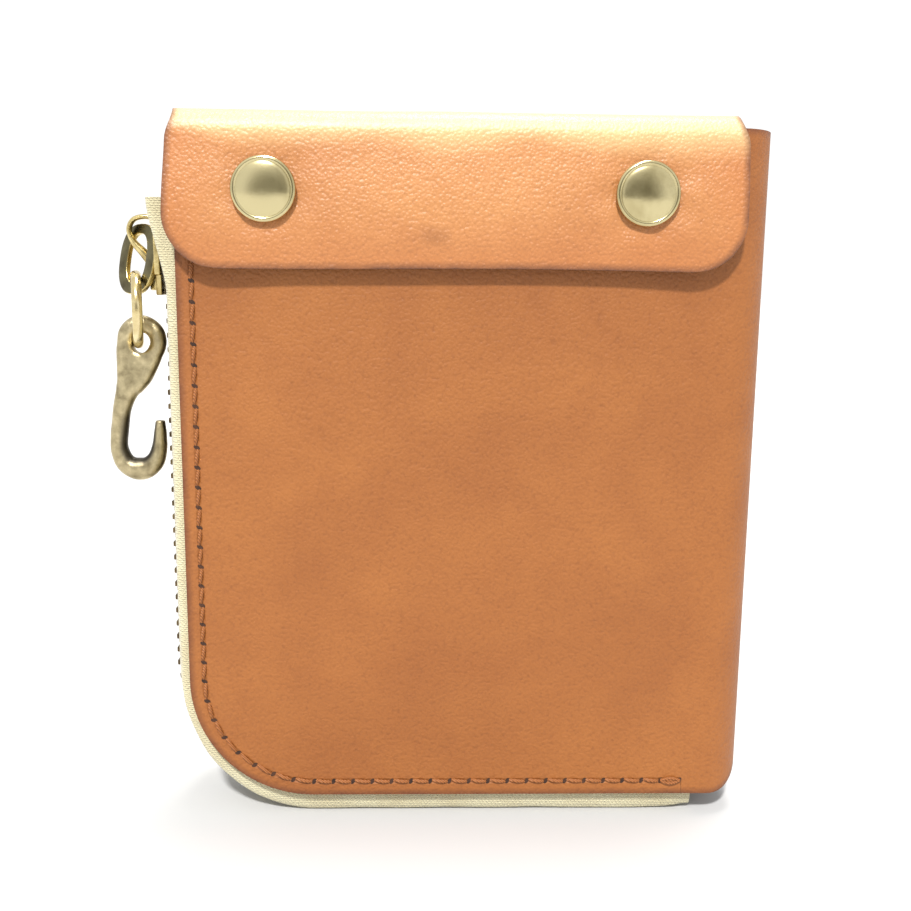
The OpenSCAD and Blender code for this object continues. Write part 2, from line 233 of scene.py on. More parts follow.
# ---------------------------------------------------------------- materials
class Nodes:
    """A small wrapper for building a node tree."""

    def __init__(self, tree):
        self.tree = tree
        tree.nodes.clear()
        self.coord = self.add("ShaderNodeTexCoord")

    def add(self, kind, **values):
        n = self.tree.nodes.new(kind)
        for k, v in values.items():
            setattr(n, k, v)
        return n

    def link(self, a, out, b, to):
        self.tree.links.new(a.outputs[out], b.inputs[to])

    def texture(self, kind, sockets, **settings):
        n = self.add(kind, **settings)
        for socket, value in sockets.items():
            n.inputs[socket].default_value = value
        self.link(self.coord, "Object", n, "Vector")
        return n

    def noise(self, scale, detail=3.0, rough=0.5, distortion=0.0):
        return self.texture("ShaderNodeTexNoise", {
            "Scale": scale, "Detail": detail, "Roughness": rough, "Distortion": distortion})

    def voronoi(self, scale, feature):
        return self.texture("ShaderNodeTexVoronoi", {"Scale": scale}, feature=feature)

    def wave(self, direction, scale, distortion=0.0, detail_scale=1.0):
        return self.texture("ShaderNodeTexWave", {
            "Scale": scale, "Distortion": distortion, "Detail Scale": detail_scale},
            wave_type="BANDS", bands_direction=direction)

    def ramp(self, source, out, stops):
        r = self.add("ShaderNodeValToRGB")
        self.link(source, out, r, "Fac")
        r.color_ramp.elements[0].position = stops[0][0]
        r.color_ramp.elements[0].color = colour(stops[0][1])
        r.color_ramp.elements[1].position = stops[-1][0]
        r.color_ramp.elements[1].color = colour(stops[-1][1])
        for at, c in stops[1:-1]:
            r.color_ramp.elements.new(at).color = colour(c)
        return r

    def mix(self, factor, a, b, kind="MIX"):
        """Mixes colours; factor is (node, output) or a number, a and b nodes' colours or tuples."""
        m = self.add("ShaderNodeMix", data_type="RGBA", blend_type=kind)
        if isinstance(factor, tuple):
            self.link(*factor, m, 0)
        else:
            m.inputs[0].default_value = factor
        for socket, value in ((6, a), (7, b)):
            if isinstance(value[0], (int, float)):
                m.inputs[socket].default_value = colour(value)
            else:
                self.link(*value, m, socket)
        return (m, 2)

    def math(self, kind, *inputs, clamp=False):
        m = self.add("ShaderNodeMath", operation=kind, use_clamp=clamp)
        for i, v in enumerate(inputs):
            if isinstance(v, (int, float)):
                m.inputs[i].default_value = v
            else:
                self.link(*v, m, i)
        return (m, 0)

    def attribute(self, name):
        return (self.add("ShaderNodeAttribute", attribute_name=name), "Fac")


class Material(Nodes):
    """A material on one Principled shader."""

    def __init__(self, name):
        self.mat = bpy.data.materials.new(name)
        self.mat.use_nodes = True
        super().__init__(self.mat.node_tree)
        self.bsdf = self.add("ShaderNodeBsdfPrincipled")
        self.link(self.bsdf, "BSDF", self.add("ShaderNodeOutputMaterial"), "Surface")

    def set(self, **values):
        for k, v in values.items():
            self.bsdf.inputs[k.replace("_", " ")].default_value = v

    def base(self, source):
        self.link(*source, self.bsdf, "Base Color")

    def rough(self, source):
        self.link(*source, self.bsdf, "Roughness")

    def bump(self, *layers):
        """Stacks bumps; each layer is ((node, output), height in metres)."""
        last = None
        for source, height in layers:
            b = self.add("ShaderNodeBump")
            b.inputs["Strength"].default_value = 1.0
            b.inputs["Distance"].default_value = height
            self.link(*source, b, "Height")
            if last:
                self.link(last, "Normal", b, "Normal")
            last = b
        self.link(last, "Normal", self.bsdf, "Normal")


def colour(c):
    return (*c, 1.0)


def window(n, value, centre, width):
    """1 where value is at centre, falling to 0 at width from it."""
    away = n.math("ABSOLUTE", n.math("SUBTRACT", value, centre))
    return n.math("SUBTRACT", 1.0, n.math("DIVIDE", away, width), clamp=True)


def leather(name, light, dark, edge_dark, grain, rough, coat=0.12, groove=None, fold=None):
    """Vegetable-tanned leather.

    The mesh gives "edge", the distance to its rim in millimetres; with a groove also "seam",
    the distance to the sewn rim; with a fold colour also the mask of the painted highlight on
    the fold and "spot", both from 0 to 1.
    """
    n = Material(name)
    cloud = n.noise(38, 4, 0.55, 0.4)
    small = n.noise(260, 3, 0.6)
    fleck = n.noise(1500, 2, 0.6)
    tone = n.ramp(cloud, "Fac", [(0.3, dark), (0.72, light)])
    c = n.mix((small, "Fac"), (0.80, 0.78, 0.76), (1.0, 1.0, 1.0))
    c = n.mix(0.32, (tone, "Color"), c, "MULTIPLY")
    f = n.ramp(fleck, "Fac", [(0.28, (0.62, 0.55, 0.5)), (0.46, (1, 1, 1))])
    c = n.mix(0.34, c, (f, "Color"), "MULTIPLY")
    if fold:
        # browner within 11 mm of the rim, then the stain, then the painted highlight: the fold
        # painted paler
        tanned = n.math("SUBTRACT", 1.0, n.math("DIVIDE", n.attribute("edge"), 11.0), clamp=True)
        c = n.mix(n.math("MULTIPLY", tanned, 0.55), c, (0.38, 0.120, 0.028))
        c = n.mix(n.math("MULTIPLY", n.attribute("spot"), 0.5), c, (0.25, 0.09, 0.024))
        c = n.mix(n.math("MULTIPLY", n.attribute("fold"), 0.8), c, fold)
    edge = n.attribute("edge")
    rim = n.math("SUBTRACT", 1.0, n.math("DIVIDE", edge, 1.5), clamp=True)
    wander = n.math("MULTIPLY", rim, n.math("ADD", (small, "Fac"), 0.35), clamp=True)
    c = n.mix(wander, c, edge_dark)
    cells = n.voronoi(1750, "SMOOTH_F1")
    pebble = n.math("MULTIPLY", n.math("POWER", (cells, "Distance"), 1.4), -1.0)
    shade = n.ramp(cells, "Distance", [(0.42, (1, 1, 1)), (0.85, (0.74, 0.68, 0.64))])
    c = n.mix(0.38 * min(grain, 1.0), c, (shade, "Color"), "MULTIPLY")
    pore = n.noise(5200, 2, 0.5)
    layers = [((pore, "Fac"), 0.000035), (pebble, 0.00014 * grain),
              ((small, "Fac"), 0.00014 if groove else 0.00007)]
    if groove:
        line = window(n, n.attribute("seam"), groove, 0.6)
        layers.append((n.math("MULTIPLY", line, -1.0), 0.00026))
        # the pressed groove is also painted a little darker: painted shade in the groove
        c = n.mix(n.math("MULTIPLY", line, 0.09), c, edge_dark)
    n.base(c)
    n.rough(n.math("ADD", n.math("MULTIPLY", (small, "Fac"), 0.22), rough - 0.11))
    n.bump(*layers)
    n.set(Coat_Weight=coat, Coat_Roughness=0.40, Specular_IOR_Level=0.42)
    return n.mat


def metal(name, base, tarnish, rough, wear=0.5, pits=0.00002, scale=180, shade_attribute=None):
    """Metal clouded with tarnish; pits is the bump in metres, and the last argument names the
    attribute that marks where painted shade blackens it.
    """
    n = Material(name)
    cloud = n.noise(scale, 5, 0.6, 0.3)
    t = n.ramp(cloud, "Fac", [(0.5 - wear * 0.25, tarnish), (0.5 + wear * 0.2, base)])
    c = (t, "Color")
    # painted shade: near black where the named attribute is 1
    if shade_attribute:
        c = n.mix(n.math("MULTIPLY", n.attribute(shade_attribute), 0.9), c, (0.05, 0.045, 0.04))
    n.base(c)
    fine = n.noise(scale * 22, 2, 0.5)
    n.rough(n.math("ADD", n.math("MULTIPLY", (cloud, "Fac"), 0.18), rough - 0.06))
    n.bump(((fine, "Fac"), pits), ((cloud, "Fac"), pits * 4))
    n.set(Metallic=1.0)
    return n.mat


def weave(name, light, dark):
    """Woven cotton tape: two crossed waves, slightly soiled."""
    n = Material(name)
    warp = n.wave("DIAGONAL", 800, 2.2, 2.5)
    weft = n.wave("Z", 690, 2.2, 2.5)
    both = n.math("MULTIPLY", (warp, "Fac"), (weft, "Fac"))
    soil = n.noise(90, 3, 0.6)
    t = n.ramp(soil, "Fac", [(0.3, dark), (0.62, light)])
    shade = n.math("ADD", n.math("MULTIPLY", both, 0.36), 0.72, clamp=True)
    g = n.add("ShaderNodeCombineColor")
    for socket in ("Red", "Green", "Blue"):
        n.link(*shade, g, socket)
    n.base(n.mix(1.0, (t, "Color"), (g, "Color"), "MULTIPLY"))
    n.bump((both, 0.00022))
    n.set(Roughness=0.92, Sheen_Weight=0.35)
    return n.mat


def thread_material(name, base, dark):
    """Plied thread."""
    n = Material(name)
    ply = n.wave("DIAGONAL", 900)
    t = n.ramp(ply, "Fac", [(0.2, dark), (0.8, base)])
    n.base((t, "Color"))
    n.bump(((ply, "Fac"), 0.0001))
    n.set(Roughness=0.62)
    return n.mat


def hole_shade_material():
    """Painted shade: a near-black colour for the shadowed inside of a needle hole."""
    n = Material("needle_hole_shade")
    soft = n.noise(900, 2)
    t = n.ramp(soft, "Fac", [(0.3, (0.02, 0.008, 0.004)), (0.7, (0.06, 0.022, 0.009))])
    n.base((t, "Color"))
    n.set(Roughness=0.9)
    return n.mat


TAN = leather("tan_leather", (0.318, 0.109, 0.0205), (0.258, 0.081, 0.014), (0.12, 0.034, 0.010),
              0.95, 0.55, groove=SEAM_INSET)
# painted light: the flap leather is a lighter copy of the tan leather, standing for the stronger
# light and sheen on the flap; its fold colour is the painted highlight on the top fold
FLAP_LIT_COPY = leather("flap_leather", (0.490, 0.212, 0.068), (0.405, 0.156, 0.045), (0.12, 0.038, 0.012),
               1.25, 0.42, 0.35, fold=(0.74, 0.52, 0.25))
INNER = leather("inner_leather", (0.52, 0.27, 0.13), (0.43, 0.21, 0.09), (0.35, 0.16, 0.07),
                0.3, 0.6)
TAPE = weave("cream_tape", (0.75, 0.69, 0.45), (0.64, 0.56, 0.34))
THREAD = thread_material("brown_thread", (0.33, 0.112, 0.024), (0.21, 0.066, 0.015))
HOLE_SHADE = hole_shade_material()
TEETH = metal("zip_teeth_metal", (0.20, 0.145, 0.075), (0.06, 0.040, 0.022), 0.36, 0.6)
CAP = metal("cap_metal", (0.60, 0.52, 0.29), (0.44, 0.37, 0.19), 0.13, 0.4, 0.000006, 90)
STUD = metal("stud_metal", (0.66, 0.58, 0.34), (0.50, 0.42, 0.22), 0.3)
SLIDER = metal("slider_metal", (0.78, 0.64, 0.30), (0.34, 0.25, 0.10), 0.20, 0.7, 0.00002, 240)
RING = metal("ring_metal", (0.84, 0.72, 0.42), (0.58, 0.46, 0.22), 0.18, 0.5, 0.00001, 200)
ANTIQUE = metal("antique_metal", (0.66, 0.56, 0.34), (0.22, 0.175, 0.095), 0.30, 1.1, 0.00003, 420,
                shade_attribute="bend_shade")
# painted shade: a darker copy of the slider's brass, for the tab's faces that look front and back
BRASS_SHADED_COPY = metal("brass_painted_shade", (0.17, 0.15, 0.08), (0.09, 0.075, 0.04), 0.28, 0.7, 0.00001, 300)
STEEL = metal("spring_metal", (0.55, 0.53, 0.47), (0.42, 0.40, 0.34), 0.3)


# ---------------------------------------------------------------- body leather
def low_at(x):
    """Height of the body's lower edge at x."""
    if x < CORNER[0]:
        return CORNER[1] - math.sqrt(max(CORNER_R ** 2 - (x - CORNER[0]) ** 2, 0))
    past = x - (HALF_W - SPINE_FOOT_R)
    if past > 0:
        return BASE_Z + SPINE_FOOT_R - math.sqrt(max(SPINE_FOOT_R ** 2 - past ** 2, 0))
    return BASE_Z


def rim_distance(x, z):
    """Distance from the outline's zip side and lower edge, in millimetres."""
    if x < CORNER[0] and z < CORNER[1]:
        return CORNER_R - math.hypot(x - CORNER[0], z - CORNER[1])
    return min(x + HALF_W, z - BASE_Z)


def puff(x, z):
    """How far the filled leaf stands out from flat; it stays flat round the studs."""
    rim = min(rim_distance(x, z), HALF_W - 6 - x, 40)
    stud = min(math.hypot(x - cap.x, z - cap.z) for cap in CAPS)
    swell = 0.55 * step(3.4, 26, rim) + ripple(x, 3.1, z, 34, 0.22) * step(3.5, 14, rim)
    return swell * step(6, 13, stud)


def spine_path():
    """(x, y, normal x, normal y) round the wrap, from the front's free edge to the back's."""
    out = []
    flat_end = HALF_W - SPINE_R
    for i in range(30):
        a = math.pi / 2 * (1 - i / 29)
        out.append((CORNER[0] - CORNER_R * math.sin(a), -HALF_T, 0, -1))
    count = 64
    for i in range(1, count + 1):
        out.append((lerp(CORNER[0], flat_end, i / count), -HALF_T, 0, -1))
    for i in range(1, 13):
        a = math.radians(-90 + 90 * i / 12)
        out.append((flat_end + SPINE_R * math.cos(a), -HALF_T + SPINE_R + SPINE_R * math.sin(a),
                    math.cos(a), math.sin(a)))
    half = [(x, -y, nx, -ny) for x, y, nx, ny in reversed(out)]
    middle = [(HALF_W, lerp(-HALF_T + SPINE_R, HALF_T - SPINE_R, i / 7), 1, 0)
              for i in range(1, 7)]
    return out + middle + half


def body_leather():
    """The wrap: a sheet that follows the spine's path, row by row from the lower edge up."""
    path = spine_path()
    rows, groove_end = 96, 44.5
    outer, inner, edge, seam = [], [], [], []
    for r in range(rows):
        for x, y, nx, ny in path:
            z = lerp(low_at(x), TOP_Z, r / (rows - 1))
            out = puff(x, z) * abs(ny) ** 3
            outer.append((x + nx * out, y + ny * out, z))
            inner.append((x + nx * (out - LEATHER), y + ny * (out - LEATHER), z))
            flat = abs(ny) > 0.5
            side = rim_distance(x, z) if flat else FAR
            edge.append(min(side, TOP_Z - z, z - low_at(x), FAR))
            seam.append(side if flat and x < groove_end else FAR)
    obj = make("leather_body", outer + inner, sheet_faces(rows, len(path), (0, rows - 1)),
               slot="outer_leather", replaces=("outer_shell",))
    recalc(obj)
    point_values(obj, "edge", edge + [min(e, 4) for e in edge])
    point_values(obj, "seam", seam + [FAR] * len(inner))
    obj.data.materials.append(TAN)
    bevel(obj, 0.55, 3, 60)
    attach(obj, "body")


body_leather()


# ---------------------------------------------------------------- flap leather
def flap_path(front):
    """(y, z, normal y, normal z) of the flap's outer face, from the middle of the top outwards."""
    out = []
    if front:
        r, side, outer_y, low = 4.5, -1, FLAP_OUT, FLAP_LOW
    else:
        r, side, outer_y, low = 2.6, 1, ANCHOR_OUT, ANCHOR_LOW
    cy, cz = outer_y - side * r, FLAP_TOP - r
    for i in range(12):
        out.append((lerp(0, cy, i / 12), FLAP_TOP, 0, 1))
    for i in range(15):
        a = math.radians(90 * i / 14)
        out.append((cy + side * r * math.sin(a), cz + r * math.cos(a), side * math.sin(a),
                    math.cos(a)))
    count = 30
    for i in range(1, count + 1):
        # closer rows towards the lower edge, where the corners turn
        f = 1 - (1 - i / count) ** 1.25
        out.append((outer_y, lerp(cz, low, f), side, 0))
    return out


def flap_piece(name, front):
    """Half of the flap, from the middle of the top down the front or down the back."""
    path = flap_path(front)
    low = FLAP_LOW if front else ANCHOR_LOW
    corner = 10.0 if front else 3.0
    columns = 100
    outer, inner, edge, fold, spot = [], [], [], [], []
    for y, z, ny, nz in path:
        drop = z - low
        cut = 0.0
        if abs(ny) > 0.99 and drop < corner:
            cut = corner - math.sqrt(max(corner ** 2 - (corner - drop) ** 2, 0))
        # the left side runs out to the wider sewn end, down the back
        sewn = step(8, 14, y)
        # the front face leans back towards the top
        lean = 1.7 * step(118, 141, z) ** 1.5 if front and y < -10 else 0.0
        # the sides draw in a little over the folds
        drawn_in = 1.5 * step(FLAP_TOP - 6, FLAP_TOP - 0.2, z)
        left = lerp(FLAP_LEFT, ANCHOR_LEFT, sewn) + cut + drawn_in
        right = FLAP_RIGHT - cut - drawn_in
        if front:
            left += 0.9 * step(8, 27, drop) * abs(ny)
        for j in range(columns):
            x = lerp(left, right, j / (columns - 1))
            lift = ripple(x, y, z, 22, 0.20) * step(0, 5, drop) * (1 if front else 0.3)
            if front and abs(ny) > 0.6:
                # each cap presses a dish into the leather, with a few creases round it
                for k, cap in enumerate(CAPS):
                    away = math.hypot(x - cap.x, z - cap.z)
                    lift -= 0.38 * (1 - step(4.5, 11, away))
                    turn = math.atan2(z - cap.z, x - cap.x)
                    rays = math.sin(7 * turn + 1.3 * k) * (1 - step(7, 15, away))
                    lift += 0.09 * rays * step(5, 7, away) * (1.4 if k else 0.7)
                lift -= 0.25 * (1 - step(0, 6, drop))
            wave = 0.22 * math.sin(x / 17.0 + 1.0) if front and drop < 4 else 0.0
            outer.append((x, y + ny * lift + lean, z + nz * lift + wave))
            inner.append((x, y + ny * (lift - LEATHER) + lean, z + nz * (lift - LEATHER) + wave))
            rim = min(x - left, right - x, drop)
            if drop < corner and abs(ny) > 0.99:
                for cx in (left - cut + corner, right + cut - corner):
                    if (x - cx) * (-1 if cx < 0 else 1) > 0:
                        rim = min(rim, corner - math.hypot(x - cx, corner - drop))
            edge.append(max(min(rim, FAR), 0))
            # one small stain, low on the front
            blot = math.hypot((x + 8.9) / 1.5, z - 118.9) + ripple(x, 2.0, z, 3, 1.5)
            spot.append(1 - step(0.5, 3.2, blot) if front else 0.0)
            # painted highlight: the fold is painted paler where the light catches it, fading out
            # over the flat top
            uneven = 1.0 + ripple(x, 7.0, z, 16, 0.45) - 0.35 * step(-38, -58, x)
            highlight_mask = step(FLAP_TOP - 9.0 * uneven, FLAP_TOP - 1.2, z)
            fold.append(lerp(highlight_mask, 0.1, step(-12, -2, y)))
    obj = make(name, outer + inner, sheet_faces(len(path), columns, (len(path) - 1,)),
               slot="flap_leather")
    recalc(obj)
    plain = [0.0] * len(inner)
    point_values(obj, "edge", edge + [min(e, 3) for e in edge])
    point_values(obj, "fold", fold + plain)
    point_values(obj, "spot", spot + plain)
    obj.data.materials.append(FLAP_LIT_COPY)
    return bevel(obj, 0.5, 3, 60)


# Both pieces meet in the middle of the top, and each bends over one fold, from start to end.
rear = flap_piece("flap_rear_leather", False)
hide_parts("flap_anchor")
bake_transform(rear)
lead = flap_piece("flap_front_leather", True)
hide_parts("flap_bridge", "flap_tongue")
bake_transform(lead)


# ---------------------------------------------------------------- stitching
def tube(points, radii, sides=8):
    """A round bar along points that run more or less in the XZ plane."""
    verts = []
    up = Vector((0, 1, 0))
    for i, p in enumerate(points):
        a, b = points[max(i - 1, 0)], points[min(i + 1, len(points) - 1)]
        d = (b - a).normalized()
        u = d.cross(up).normalized()
        v = d.cross(u)
        for k in range(sides):
            t = 2 * math.pi * k / sides
            verts.append(p + (u * math.cos(t) + v * math.sin(t)) * radii[i])
    return verts, tube_faces(len(points), sides)


def edge_line(top):
    """Points at every needle hole along the zip edge, as (x, z, direction in the XZ plane)."""
    r = CORNER_R - SEAM_INSET
    out = []
    for i in range(int((top - CORNER[1]) / STITCH), -1, -1):
        out.append((CORNER[0] - r, CORNER[1] + i * STITCH, -math.pi / 2))
    arc = int(r * math.pi / 2 / STITCH)
    for i in range(1, arc):
        a = math.pi + math.pi / 2 * i / arc
        out.append((CORNER[0] + r * math.cos(a), CORNER[1] + r * math.sin(a), a + math.pi / 2))
    for i in range(20):
        out.append((CORNER[0] + i * STITCH, CORNER[1] - r, 0.0))
    return out


def stitching(name, holes, face_y, side, node, double_end=True):
    """Saddle stitches between needle holes on the plane y = face_y, facing side."""
    threads, hole_shade_discs = ([], []), ([], [])
    for (xa, za, _), (xb, zb, _) in zip(holes, holes[1:]):
        d = Vector((xb - xa, 0, zb - za))
        across = Vector((-d.z, 0, d.x)).normalized()
        pts, radii = [], []
        for k in range(9):
            f = k / 8
            lift = math.sin(math.pi * f) ** 0.55
            p = Vector((xa, 0, za)) + d * lerp(0.06, 0.94, f)
            p += across * (0.22 - 0.44 * f)
            p.y = face_y + side * (-0.42 + 0.56 * lift)
            pts.append(p)
            radii.append(0.30 + 0.10 * lift)
        add_part(*threads, tube(pts, radii))
    if double_end:
        x, z, _ = holes[-1]
        for shift in (-0.55, 0.55):
            pts = []
            for k in range(9):
                bow = math.sin(math.pi * k / 8)
                pts.append(Vector((x - STITCH * (1 - k / 8), face_y + side * (0.1 + 0.2 * bow),
                                   z + shift * bow)))
            add_part(*threads, tube(pts, [0.34] * 9))
    # each needle hole is a flat dark disc on the leather's face: painted shade for the hole
    for x, z, t in holes:
        slant = t + math.radians(62)
        u = Vector((math.cos(slant), 0, math.sin(slant)))
        w = Vector((-u.z, 0, u.x))
        rim = [Vector((x, face_y + side * 0.03, z))]
        for k in range(12):
            a = 2 * math.pi * k / 12
            rim.append(Vector((x, face_y + side * 0.05, z)) + u * math.cos(a) * 0.68
                       + w * math.sin(a) * 0.40)
        add_part(*hole_shade_discs, (rim, [(0, 1 + k, 1 + (k + 1) % 12) for k in range(12)]))
    marks = [0] * len(threads[1]) + [1] * len(hole_shade_discs[1])
    add_part(*threads, hole_shade_discs)
    obj = make(name, *threads, "body", "thread", (node,))
    obj.data.materials.append(THREAD)
    obj.data.materials.append(HOLE_SHADE)
    obj.data.polygons.foreach_set("material_index", marks)


stitching("stitches_front", edge_line(TOP_Z - 3.5), -HALF_T, -1, "stitching_front")
stitching("stitches_back", edge_line(ANCHOR_LOW - 2), HALF_T, 1, "stitching_back")
flap_holes = [(ANCHOR_LEFT + 3.5 + STITCH * i, ANCHOR_LOW + SEAM_INSET, 0.0) for i in range(26)]
stitching("stitches_flap", flap_holes, ANCHOR_OUT, 1, "stitching_flap", False)


# ---------------------------------------------------------------- zip
def along_zip(step_mm, top, end_x):
    """(centre x, centre z, outward x, outward z) down the side and along the bottom."""
    out = []
    leg = top - CORNER[1]
    count = int(leg / step_mm)
    for i in range(count):
        out.append((CORNER[0], top - leg * i / count, -1, 0))
    for i in range(31):
        a = math.pi + math.pi / 2 * i / 30
        out.append((CORNER[0], CORNER[1], math.cos(a), math.sin(a)))
    foot = end_x - CORNER[0]
    count = int(foot / step_mm)
    for i in range(1, count + 1):
        out.append((CORNER[0] + foot * i / count, CORNER[1], 0, -1))
    return out


def tape_profile():
    """Middle line of the front tape's section: (out of the leather edge, y)."""
    face = -HALF_T + LEATHER + 0.3
    pts = [(-4.6, face), (-2.0, face), (0.0, face), (0.9, face)]
    for i in range(1, 6):
        a = math.radians(-90 + 90 * i / 5)
        pts.append((0.9 + 1.2 * math.cos(a), face + 1.2 + 1.2 * math.sin(a)))
    for i in range(1, 8):
        pts.append((lerp(2.1, 3.65, i / 7), lerp(face + 1.2, -4.6, i / 7)))
    return pts + [(3.65, -3.7), (3.55, -2.75)]


def tape(name, side, node):
    """One tape, from the free top end that opens outwards to the frayed end underneath."""
    line, half_thick = tape_profile(), 0.3
    section = []
    for layer, order in ((half_thick, 1), (-half_thick, -1)):
        for i in range(len(line))[::order]:
            a, b = line[max(i - 1, 0)], line[min(i + 1, len(line) - 1)]
            dx, dy = b[0] - a[0], b[1] - a[1]
            length = math.hypot(dx, dy)
            section.append((*line[i], -dy / length * layer, dx / length * layer))
    path = along_zip(1.6, TAPE_TOP, TAPE_END)
    verts = []
    for cx, cz, ox, oz in path:
        high = step(0, 1, (cz - 106) / (TAPE_TOP - 106)) if oz == 0 and cz > CORNER[1] else 0
        under = max(-oz, 0) ** 2
        fray = step(41, TAPE_END, cx) if oz < -0.9 else 0
        for u, y, nu, ny in section:
            flare = high * 3.4 * step(-4.6, -9.6, y)
            sway = ripple(cx + ox * 30, y * 0.4, cz + oz * 30, 9, 0.22) * step(0, 2, u)
            sway += ripple(cx, y, 2.0, 2.4, 0.5) * fray - 0.9 * fray * step(0.5, 2, u)
            # fuller where the wallet stands on it
            full = under * 2.2 * step(-11.2, -10.2, y) * (1 - step(-9.6, -4.6, y))
            full *= step(0.3, 1.6, u)
            r = CORNER_R + min(u - nu + flare + full + (sway if u < 3.2 else 0),
                               4.75 if oz else 9)
            verts.append((cx + ox * r, side * -(y - ny), cz + oz * r))
    obj = make(name, verts, tube_faces(len(path), len(section)), "body", "zip_tape", (node,))
    recalc(obj)
    obj.data.materials.append(TAPE)
    smooth_by_angle(obj, 50)


tape("tape_front", -1, "zip_tape_front")
tape("tape_back", 1, "zip_tape_back")


def rounded_box(lo, hi, r):
    """(verts, faces) of a box with its edges rounded."""
    bm = bmesh.new()
    bmesh.ops.create_cube(bm, size=1)
    lo, hi = Vector(lo), Vector(hi)
    for v in bm.verts:
        v.co = Vector(lerp(lo[i], hi[i], v.co[i] + 0.5) for i in range(3))
    bmesh.ops.bevel(bm, geom=bm.edges[:], offset=r, segments=2, affect="EDGES", profile=0.6)
    verts = [v.co.copy() for v in bm.verts]
    faces = [tuple(v.index for v in f.verts) for f in bm.faces]
    bm.free()
    return verts, faces


def teeth(name, node, side, shift):
    """One row of teeth: a rounded bar with a wider head that hooks past the middle."""
    bar = rounded_box((2.45, -2.75, -0.55), (4.7, 0.4, 0.55), 0.22)
    head = rounded_box((2.5, -0.75, -0.68), (4.75, 0.95, 0.68), 0.3)
    radius = CORNER_R + 3.6
    leg, arc, foot = TEETH_TOP - CORNER[1], radius * math.pi / 2, TEETH_END - CORNER[0]
    verts, faces = [], []
    s = shift * TOOTH_PITCH
    while s <= leg + arc + foot:
        if s <= leg:
            origin, out, run = (CORNER[0], TEETH_TOP - s), (-1, 0), (0, -1)
        elif s <= leg + arc:
            a = math.pi + (s - leg) / radius
            out, run = (math.cos(a), math.sin(a)), (-math.sin(a), math.cos(a))
            origin = CORNER
        else:
            origin, out, run = (CORNER[0] + s - leg - arc, CORNER[1]), (0, -1), (1, 0)
        # below the slider the side's teeth stand a little further out of the tape
        proud = 0.28 * step(22, 28, s) if s <= leg else 0.0
        for part_verts, part_faces in (bar, head):
            placed = []
            for p in part_verts:
                r = CORNER_R + p.x + (proud if p.x > 3.6 else 0)
                placed.append((origin[0] + out[0] * r + run[0] * p.z, -side * p.y,
                               origin[1] + out[1] * r + run[1] * p.z))
            add_part(verts, faces, (placed, part_faces))
        s += TOOTH_PITCH
    obj = make(name, verts, faces, "body", "zip_teeth", (node,))
    recalc(obj)
    obj.data.materials.append(TEETH)
    smooth_by_angle(obj, 40)


teeth("teeth_front", "zip_teeth_front", -1, 0.5)
teeth("teeth_back", "zip_teeth_back", 1, 0.0)
soften("zip_top_stops", "top_stops", "body", 0.25, 2, TEETH)
soften("zip_bottom_stop", "bottom_stop", "body", 0.35, 3, TEETH)


# ---------------------------------------------------------------- press studs
def lathe(name, profile, centre, body, slot, node, material):
    """Turns a profile of (radius, height) about the stud's axis, standing out towards -Y."""
    sides = 72
    verts = []
    for r, h in profile:
        for k in range(sides):
            a = 2 * math.pi * k / sides
            verts.append((centre.x + r * math.cos(a), FLAP_OUT - h, centre.z + r * math.sin(a)))
    obj = make(name, verts, tube_faces(len(profile), sides), body, slot, (node,))
    recalc(obj)
    obj.data.materials.append(material)
    smooth_by_angle(obj, 50)


CAP_PROFILE = [(1.7, -1.7), (1.7, -0.25), (5.6, -0.25), (5.95, 0.0), (6.08, 0.3), (6.06, 0.58),
               (5.9, 0.84), (5.62, 0.97), (5.34, 0.95), (5.16, 0.84), (5.08, 0.76), (4.98, 0.78),
               (4.8, 0.86), (4.4, 0.97), (3.7, 1.13), (2.9, 1.27), (2.0, 1.38), (1.0, 1.44),
               (0.12, 1.46)]
for side, cap in zip(("left", "right"), CAPS):
    lathe(f"cap_dome_{side}", CAP_PROFILE, cap, "flap_front", "cap_brass", f"cap_{side}", CAP)
    soften(f"socket_{side}", f"socket_ring_{side}", "flap_front", 0.2, 2, STUD)
    soften(f"stud_{side}", f"stud_head_{side}", "body", 0.2, 2, STUD)
    soften(f"stud_post_{side}", f"stud_rivet_{side}", "body", 0.12, 2, STUD)
    soften(f"socket_spring_{side}", f"snap_spring_{side}", "flap_front", 0.08, 2,
           STEEL)


# ---------------------------------------------------------------- slider and charm
soften("slider_body", "slider_plates", "slider", 0.4, 4, SLIDER)
soften("slider_lock_spring", "lock_spring", "slider", 0.08, 2, STEEL)


def ellipse_tube(points, widths, depths, sides=20):
    """A bar swept in the XZ plane; widths are in that plane, depths along Y."""
    verts = []
    for i, p in enumerate(points):
        a, b = points[max(i - 1, 0)], points[min(i + 1, len(points) - 1)]
        d = (b - a).normalized()
        n = Vector((-d.z, 0, d.x))
        for k in range(sides):
            t = 2 * math.pi * k / sides
            verts.append(p + n * math.cos(t) * widths[i]
                         + Vector((0, math.sin(t) * depths[i], 0)))
    return verts, tube_faces(len(points), sides)


def torus(centre, u, v, major, radial, axial, rings=72, sides=20):
    """A ring about centre in the plane of u and v, with an elliptical section."""
    verts = []
    w = u.cross(v)
    for i in range(rings):
        a = 2 * math.pi * i / rings
        out = u * math.cos(a) + v * math.sin(a)
        for k in range(sides):
            t = 2 * math.pi * k / sides
            verts.append(centre + out * (major + radial * math.cos(t)) + w * axial * math.sin(t))
    faces = []
    for i in range(rings):
        for k in range(sides):
            a, b = i * sides, (i + 1) % rings * sides
            faces.append((a + k, a + (k + 1) % sides, b + (k + 1) % sides, b + k))
    return verts, faces


